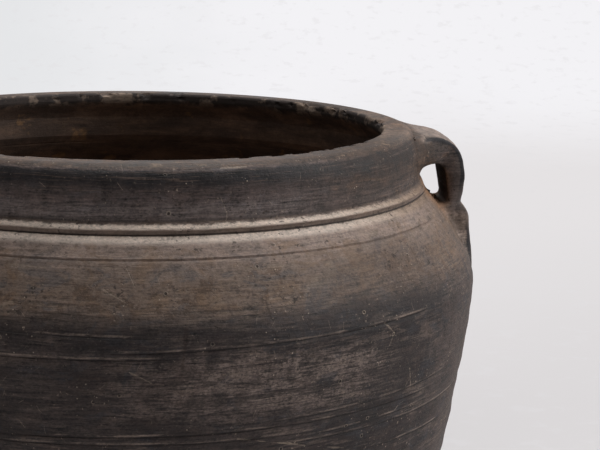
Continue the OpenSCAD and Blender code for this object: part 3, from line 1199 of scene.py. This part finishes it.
def inside_colour(at):
    """Inside: soot with brown and ochre stains, and soft pale chips on the lip."""
    thrown = clouds(at.place, 46, (1, 1, 4), 6, 0.62, 11, 0.4)
    colour = stain((90, 74, 65), (132, 106, 88), ramp(thrown, 0.38, 0.66))
    colour = stain(colour, (74, 61, 55), ramp(at.streak, 0.50, 0.64) * 0.5)
    ochre = ramp(clouds(at.place, 18, (1, 1, 1), 4, 0.6, 12), 0.60, 0.70)
    colour = stain(colour, (172, 130, 86), ochre * 0.5)
    chipped = ramp(clouds(at.place, 13, (1, 1, 1), 4, 0.6, 13), 0.49, 0.58)
    lip = stain((62, 54, 51), (134, 117, 104), chipped)
    return stain(colour, lip, ramp(at.depth + (at.mottle - 0.5) * 8, 9, 5))


def mesh_mark(at, name):
    """A number that the mesh carries at each of its points."""
    return at.place.node("ShaderNodeAttribute", {"attribute_name": name}, {}, "Fac")


def handle_colour(at, colour):
    """Strap and foot: grey on top as painted top light, brown at the sides, a dark burnished arris, paler
    clay on the foot with its outward faces darkened as painted shade.
    """
    reach = abs(at.x)
    side = stain((55, 43, 36), (84, 74, 70), ramp(reach + (at.drift - 0.5) * 8, 160, 172))
    side = stain(side, (96, 74, 58), ramp(at.mottle * 0.6 + at.smear * 0.4, 0.53, 0.62) * 0.45)
    side = stain(side, (122, 111, 107), ramp(at.depth + (at.mottle - 0.5) * 8, 27, 40) * 0.7)
    # painted top light: the upward faces are made lighter grey, the second layer broken by smears
    clay = stain(side, (126, 111, 102), ramp(at.up, 0.34, 0.62))
    clay = stain(clay, (138, 121, 111), ramp(at.up, 0.3, 0.6) * ramp(at.smear, 0.48, 0.60) * 0.5)
    foot = ramp(at.depth + (at.mottle - 0.5) * 8, 43, 50)
    luted = stain((128, 112, 101), (148, 131, 120), ramp(at.mottle, 0.46, 0.56))
    # painted shade: the foot's faces that point outwards, towards the window, are darker
    luted = stain(luted, (104, 92, 85), ramp(abs(at.side_x), 0.55, 0.85))
    clay = stain(clay, luted, foot * 0.9)
    off_corner = mesh_mark(at, "off_arris")
    arris = ramp(off_corner + (at.mottle - 0.5) * 2, 4.0, 2.6) * ramp(abs(at.side_y), 0.30, 0.54)
    arris = arris * ramp(at.depth, 96, 80) * (0.95 - band(at.depth, 28, 38, 52, 60) * 0.65)
    clay = stain(clay, (40, 38, 41), arris)
    strap = ramp(reach + (at.mottle - 0.5) * 6, 153, 160)
    return stain(colour, clay, strap)


def off_eye(at):
    """Ragged distance in mm from the middle of the strap's eye."""
    eye = vector("SUBTRACT", vector("ABSOLUTE", at.place, (0, 0, 0)), (163, 0, RIM_MM - 30))
    return vector("LENGTH", eye, (0, 0, 0), 1) + (at.mottle - 0.5) * 18 + (at.blotch - 0.5) * 24


def browned(at, colour):
    """The collar browner beside the strap's root."""
    return stain(colour, (84, 64, 50), ramp(off_eye(at), 66, 34) * ramp(at.depth, 27, 22) * 0.65)


def round_the_eye(at, colour):
    """Rust round the strap's eye, and under the strap a brown darkening that is partly soot and partly
    painted shadow.
    """
    rust = ramp(off_eye(at), 44, 22) * band(at.depth, 22, 29, 60, 72) * ramp(abs(at.x), 178, 170)
    colour = stain(colour, (168, 122, 84), rust * 0.5)
    # painted shadow of the strap, with soot: the clay inside its eye is darkened brown and made rougher
    across, down = abs(at.x) - 168, at.depth - 31
    under = ramp((across * across + down * down) ** 0.5, 14, 8)
    under = under * ramp(abs(at.y) + (at.mottle - 0.5) * 3, 18.2, 15)
    return stain(colour, (60, 45, 37), under * 0.85), under


def fired_clay(name, handle=False):
    """Smoked clay: dark and burnished, tan where the shoulder has worn. The handles have their own
    colours in place of the wheel's lines and the tools' strokes."""
    at = clay_spot(name)
    ragged = at.depth + (at.brushed - 0.5) * 14 + (at.drift - 0.5) * 22 + (at.grain - 0.5) * 6
    colour = stain(shoulder_colour(at), wall_colour(at), ramp(ragged, 58, 75))
    colour = stain(colour, collar_colour(at), ramp(at.depth, 27.6, 26.4))
    colour = stain(colour, rim_colour(at), ramp(at.depth + (at.mottle - 0.5) * 2.4, 3.0, 1.2))
    colour, bead, groove = ring_colours(at, colour)
    colour = browned(at, colour)
    cuts, lips, hollows = 0.0, 0.0, 0.0
    if handle:
        colour = handle_colour(at, colour)
    else:
        colour, cuts, lips = wheel_marks(at, colour)
        colour, hollows = tool_strokes(at, colour)
    colour, under = round_the_eye(at, colour)
    colour, pitted, pit_floor = wear_marks(at, colour)
    hollows = pitted + hollows
    inner = mesh_mark(at, "inside")
    colour = stain(colour, inside_colour(at), inner)
    on_collar = ramp(at.depth, 28, 25)
    on_wall = ramp(at.depth, 52, 72)
    uneven = ((at.brushed - 0.5) * 0.55 + (at.streak - 0.5) * (1.9 + on_collar * 0.7 + on_wall * 0.9)
              + (at.mottle - 0.5) * (2.1 - on_wall * 1.1) + (at.grain - 0.5) * 1.7)
    shade = 1 + uneven * (0.75 + on_wall * 0.6 + on_collar * 0.4) * (1 - inner * 0.5)
    colour = vector("MULTIPLY", colour, spread(shade))
    tree = at.mat.node_tree
    tree.links.new(colour.socket, at.shader.inputs["Base Color"])
    sheen = (0.62 + (at.streak - 0.5) * 0.40 + (at.mottle - 0.5) * 0.35 + bead * 0.1 + inner * 0.2
             + pit_floor * 0.2 + under * 0.35 - on_collar * 0.08 + ramp(at.off_handle, 66, 40) * 0.12)
    tree.links.new(sheen.socket, at.shader.inputs["Roughness"])
    at.shader.inputs["Specular IOR Level"].default_value = 0.30
    relief = (at.streak * 0.30 + at.mottle * 0.26 + at.brushed * 0.10 + at.grain * 0.14
              - cuts * 0.30 + lips * 0.08 - groove * 0.2 - hollows)
    bump = relief.node("ShaderNodeBump", {}, {"Strength": 1.0, "Distance": 0.001, "Height": relief})
    tree.links.new(bump.socket, at.shader.inputs["Normal"])
    return at.mat


body_clay = fired_clay("smoked_clay")
strap_clay = fired_clay("smoked_clay_handle", True)
for piece in shells + handles:
    piece.data.materials.clear()
    piece.data.materials.append(strap_clay if piece in handles else body_clay)
    take(piece)
    bpy.ops.object.shade_smooth_by_angle(angle=math.radians(50))
    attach(piece, "root")


def paint(name):
    """Pale plaster that looks the same far off in every view and keeps the shadow near the jar."""
    mat, shader, coords = new_finish(name)
    tree = mat.node_tree
    place = vector("MULTIPLY", coords, TO_MM)
    x, y, _ = axes_of(place)
    uneven = (clouds(place, 500, (1, 1, 1), 4, 0.6, 21) - 0.5) * 500
    # painted shading across the stage: the first three layers make it darker to the left, nearer than about 2
    # m and towards the near right; the small clouds after them are the plaster's own mottling
    pale = stain((243, 242, 245), (229, 230, 232), ramp(x + uneven, 350, -350))
    pale = stain(pale, (229, 226, 227), ramp(y + uneven, 2900, 2000))
    pale = stain(pale, (220, 217, 218), ramp(y - x * 0.6 + uneven * 0.5, 1300, 200))
    pale = stain(pale, (226, 224, 226), ramp(clouds(place, 30, (1, 1, 1), 3, 0.6, 22), 0.55, 0.70) * 0.35)
    tree.links.new(pale.socket, shader.inputs["Base Color"])
    shader.inputs["Roughness"].default_value = 0.9
    seen = pale.node("ShaderNodeLightPath", {}, {}, "Is Camera Ray")
    seen = seen.sum("MAXIMUM", seen, seen.other("Is Glossy Ray"))
    far = ramp(vector("LENGTH", place, (0, 0, 0), 1), 420, 900)
    bright = pale.node("ShaderNodeEmission", {}, {"Color": pale, "Strength": 1.0})
    both = far.node("ShaderNodeMixShader", {}, {0: seen * far, 1: Value(shader.outputs[0]), 2: bright})
    tree.links.new(both.socket, tree.nodes["Material Output"].inputs["Surface"])
    return mat


rest()
bpy.ops.mesh.primitive_plane_add(size=8, location=(0, 0, 0))
backdrop = new_piece("backdrop")


def far_edge(edge):
    """Whether an edge lies where the floor ends and the wall behind the jar rises."""
    ends = [backdrop.data.vertices[i].co for i in edge.vertices]
    return all(co.y > 3.9 and abs(co.z) < 0.1 for co in ends)


pick(backdrop, far_edge, "EDGE")
extrude_edges((0, 0, 4))
rest()
pick(backdrop, far_edge, "EDGE")
bpy.ops.mesh.bevel(offset=1.6, segments=24)
rest()
backdrop.data.materials.append(paint("plaster"))
take(backdrop)
bpy.ops.object.shade_smooth()


def softbox(name, place, aim, size, power):
    """A square soft lamp turned towards a place."""
    bpy.ops.object.light_add(type="AREA", location=place)
    lamp = bpy.context.active_object
    lamp.name = name
    lamp.data.shape = "SQUARE"
    lamp.data.size = size
    lamp.data.energy = power
    lamp.rotation_euler = (Vector(aim) - Vector(place)).to_track_quat("-Z", "Y").to_euler()


softbox("window", (1.9, 0.0, 1.1), (0, 0, 0.25), 1.3, 27)
softbox("sky", (0.2, 0.3, 2.0), (0, 0, 0.25), 1.5, 26)
softbox("fill", (-1.2, -2.0, 0.9), (0, 0, 0.2), 1.6, 1.5)
world = bpy.data.worlds.new("room")
bpy.context.scene.world = world
world.use_nodes = True
room_light = world.node_tree.nodes["Background"]
room_light.inputs["Color"].default_value = (0.95, 0.94, 0.93, 1)
room_light.inputs["Strength"].default_value = 0.12
lit = Value(room_light.outputs[0])
seen = lit.node("ShaderNodeLightPath", {}, {}, "Is Camera Ray")
pale_room = seen.node("ShaderNodeBackground", {}, {"Color": tone(241, 240, 242), "Strength": 1.0})
room = seen.node("ShaderNodeMixShader", {}, {0: seen, 1: lit, 2: pale_room})
world.node_tree.links.new(room.socket, world.node_tree.nodes["World Output"].inputs["Surface"])
bpy.context.scene.view_settings.view_transform = "Standard"
